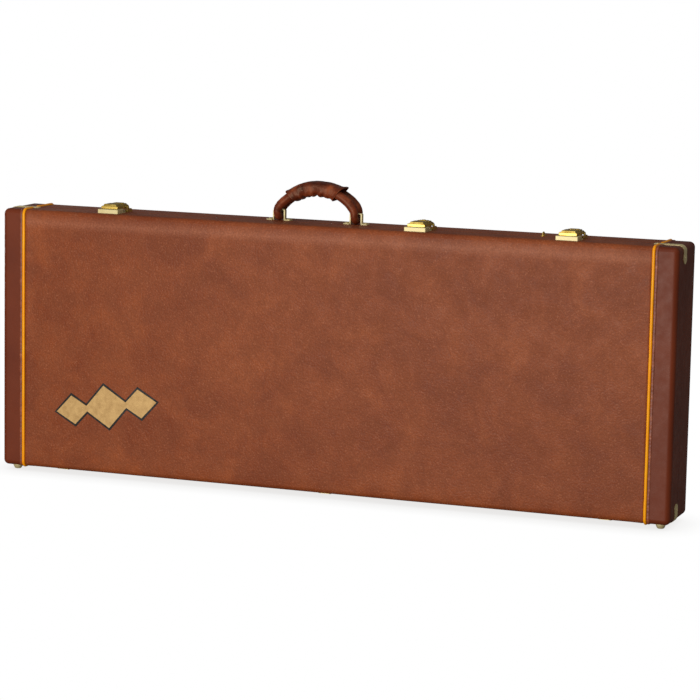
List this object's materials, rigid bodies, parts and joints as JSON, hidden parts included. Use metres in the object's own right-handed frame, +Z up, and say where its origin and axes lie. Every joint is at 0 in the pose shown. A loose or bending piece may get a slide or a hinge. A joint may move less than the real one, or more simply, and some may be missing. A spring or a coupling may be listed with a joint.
{
  "type": "guitar case",
  "caption": "Rectangular hard case for an electric guitar, vinyl over plywood, with gold piping, draw latches, leather loop handle, plush interior and accessory box.",
  "frame": {"origin": "on the floor, under the middle of the case, standing on its feet with the handle up and closed", "axes": "+X along the case's length towards the neck end, +Y from the lid's face to the base's back, +Z up towards the handle"},
  "size_m": [1.211, 0.119, 0.532],
  "materials": {
    "pebble_vinyl": "mottled red-brown pebble-grain vinyl",
    "smooth_vinyl": "smooth dark brown vinyl",
    "piping": "golden yellow piping",
    "plywood": "bare plywood",
    "edging": "satin metal edging",
    "clip_brass": "stamped brass",
    "plush": "short-pile plush",
    "handle_leather": "rolled red-brown leather",
    "rope": "twisted cotton rope",
    "steel": "zinc-plated",
    "black_trim": "black",
    "gold_trim": "gold",
    "hardware_brass": "polished brass plate"
  },
  "bodies": {
    "base": {"base_panel": "plywood", "base_long_boards": "plywood", "base_end_boards": "plywood", "base_cover": "pebble_vinyl", "base_end_cap_left": "smooth_vinyl", "base_end_cap_right": "smooth_vinyl", "base_piping_left": "piping", "base_piping_right": "piping", "base_tongue_rail": "edging", "base_lining": "plush", "tail_bolsters": "plush", "waist_bolsters": "plush", "neck_side_bolsters": "plush", "neck_cradle": "plush", "accessory_box": "plush", "base_hinge_leaves": "hardware_brass", "hinge_pins": "hardware_brass", "latch_base_left": "hardware_brass", "latch_base_middle": "hardware_brass", "latch_base_right": "hardware_brass", "latch_lever_pins": "hardware_brass", "base_rivets": "hardware_brass", "base_feet": "hardware_brass", "handle_bracket_left": "hardware_brass", "handle_bracket_right": "hardware_brass", "handle_backing_plate": "steel", "handle_screws": "hardware_brass", "lock_staple": "hardware_brass"},
    "lid": {"lid_panel": "plywood", "lid_long_boards": "plywood", "lid_end_boards": "plywood", "lid_cover": "pebble_vinyl", "lid_end_cap_left": "smooth_vinyl", "lid_end_cap_right": "smooth_vinyl", "lid_piping_left": "piping", "lid_piping_right": "piping", "lid_valance": "edging", "corner_clips": "clip_brass", "clip_nails": "clip_brass", "lid_lining": "plush", "lid_pad": "plush", "lid_hinge_leaves": "hardware_brass", "latch_catch_plates": "hardware_brass", "lid_rivets": "hardware_brass", "lid_feet": "hardware_brass", "badge_backing": "black_trim", "badge_inlay": "gold_trim"},
    "handle": {"handle_leather_loop": "handle_leather", "handle_cord_core": "rope", "handle_sleeve": "handle_leather"},
    "lever_left": {"latch_lever_left": "hardware_brass"},
    "hook_left": {"latch_hook_left": "hardware_brass"},
    "lever_middle": {"latch_lever_middle": "hardware_brass"},
    "hook_middle": {"latch_hook_middle": "hardware_brass"},
    "lever_right": {"latch_lever_right": "hardware_brass"},
    "hook_right": {"latch_hook_right": "hardware_brass"},
    "lock": {"lock_cylinder": "hardware_brass"},
    "accessory_flap": {"accessory_lid": "plush", "accessory_pull_tab": "plush"}
  },
  "joints": [
    {"name": "lid_hinge", "type": "hinge", "parent": "base", "child": "lid", "pos_m": [0, -0.006, 0.0055], "axis": [1, 0, 0], "range_deg": [0, 100]},
    {"name": "handle_swing", "type": "hinge", "parent": "base", "child": "handle", "pos_m": [-0.04175, 0.012, 0.48], "axis": [1, 0, 0], "range_deg": [-80, 80]},
    {"name": "latch_lever_left_swing", "type": "hinge", "parent": "base", "child": "lever_left", "pos_m": [-0.408, -0.001, 0.4706], "axis": [1, 0, 0], "range_deg": [0, 110]},
    {"name": "latch_hook_left_swing", "type": "hinge", "parent": "lever_left", "child": "hook_left", "pos_m": [-0.408, 0.006, 0.4696], "axis": [1, 0, 0], "range_deg": [-140, 0]},
    {"name": "latch_lever_middle_swing", "type": "hinge", "parent": "base", "child": "lever_middle", "pos_m": [0.152, -0.001, 0.4706], "axis": [1, 0, 0], "range_deg": [0, 110]},
    {"name": "latch_hook_middle_swing", "type": "hinge", "parent": "lever_middle", "child": "hook_middle", "pos_m": [0.152, 0.006, 0.4696], "axis": [1, 0, 0], "range_deg": [-140, 0]},
    {"name": "latch_lever_right_swing", "type": "hinge", "parent": "base", "child": "lever_right", "pos_m": [0.413, -0.001, 0.4706], "axis": [1, 0, 0], "range_deg": [0, 110]},
    {"name": "latch_hook_right_swing", "type": "hinge", "parent": "lever_right", "child": "hook_right", "pos_m": [0.413, 0.006, 0.4696], "axis": [1, 0, 0], "range_deg": [-140, 0]},
    {"name": "lock_turn", "type": "hinge", "parent": "lever_middle", "child": "lock", "pos_m": [0.152, 0.0016, 0.4754], "axis": [0, 0, 1], "range_deg": [0, 90]},
    {"name": "accessory_flap_hinge", "type": "hinge", "parent": "base", "child": "accessory_flap", "pos_m": [0.119, -0.0034, 0.028], "axis": [1, 0, 0], "range_deg": [0, 85]}
  ],
  "couplings": [
    {"joint": "latch_hook_left_swing", "follows": "latch_lever_left_swing", "ratio": -1.227},
    {"joint": "latch_hook_middle_swing", "follows": "latch_lever_middle_swing", "ratio": -1.227},
    {"joint": "latch_hook_right_swing", "follows": "latch_lever_right_swing", "ratio": -1.227},
    {"joint": "accessory_flap_hinge", "follows": "lid_hinge", "ratio": 0.8}
  ]
}
